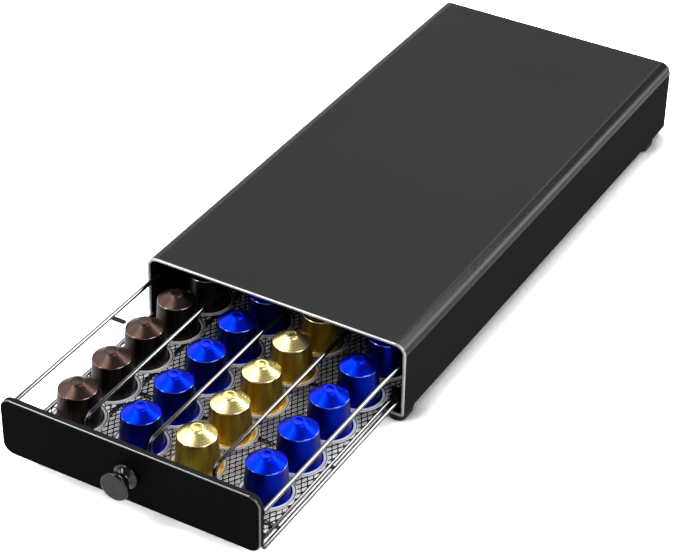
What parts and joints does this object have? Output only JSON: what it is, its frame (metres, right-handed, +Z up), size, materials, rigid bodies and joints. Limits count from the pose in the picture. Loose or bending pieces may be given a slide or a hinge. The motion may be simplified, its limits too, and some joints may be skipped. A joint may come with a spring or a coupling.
{
  "type": "coffee pod drawer",
  "caption": "Low black steel sleeve with a pull-out wire drawer: mesh floor, wire lane dividers, flat front panel and spool knob, holding coffee capsules.",
  "frame": {"origin": "under the middle of the whole object with the drawer pulled out as it rests, on the surface the feet stand on", "axes": "+X to the right seen from the front, +Y from the front panel towards the back, +Z up"},
  "size_m": [0.196, 0.6018, 0.0612],
  "materials": {
    "sleeve_coat": "satin black powder coat",
    "panel_coat": "satin black paint",
    "wire": "gloss black enamel",
    "mesh": "satin black enamel",
    "knob_gloss": "gloss black, polished",
    "steel": "zinc plated",
    "foot_rubber": "matte black",
    "capsule_brown": "anodised, satin",
    "capsule_blue": "anodised, satin",
    "capsule_gold": "anodised, satin",
    "lid_foil": "lacquered foil"
  },
  "bodies": {
    "housing": {"housing_shell": "sleeve_coat", "back_panel": "sleeve_coat", "foot_front_left": "foot_rubber", "foot_front_right": "foot_rubber", "foot_rear_left": "foot_rubber", "foot_rear_right": "foot_rubber", "runner_left": "sleeve_coat", "runner_right": "sleeve_coat", "stop_left": "sleeve_coat", "stop_right": "sleeve_coat"},
    "drawer": {"front_panel": "panel_coat", "knob": "knob_gloss", "knob_washer": "steel", "knob_screw": "steel", "upper_side_wire_left": "wire", "upper_side_wire_right": "wire", "upper_rear_wire": "wire", "lower_side_wire_left": "wire", "lower_side_wire_right": "wire", "lower_rear_wire": "wire", "divider_wire_1": "wire", "divider_wire_2": "wire", "divider_wire_3": "wire", "cross_wire_1": "wire", "cross_wire_2": "wire", "cross_wire_3": "wire", "cross_wire_4": "wire", "cross_wire_5": "wire", "cross_wire_6": "wire", "base_wire_left": "wire", "base_wire_right": "wire", "rear_post_left": "wire", "rear_post_right": "wire", "mesh_floor": "mesh", "mesh_rim": "mesh", "side_tab": "wire", "hook_left": "wire", "hook_right": "wire", "capsules_lane_1": "capsule_brown", "capsules_lane_2": "capsule_blue", "capsules_lane_3": "capsule_gold", "capsules_lane_4": "capsule_blue", "capsule_lids_lane_1": "lid_foil", "capsule_lids_lane_2": "lid_foil", "capsule_lids_lane_3": "lid_foil", "capsule_lids_lane_4": "lid_foil"}
  },
  "joints": [
    {"name": "drawer_slide", "type": "slide", "parent": "housing", "child": "drawer", "axis": [0, -1, 0], "range_m": [-0.1675, 0.1002]}
  ]
}
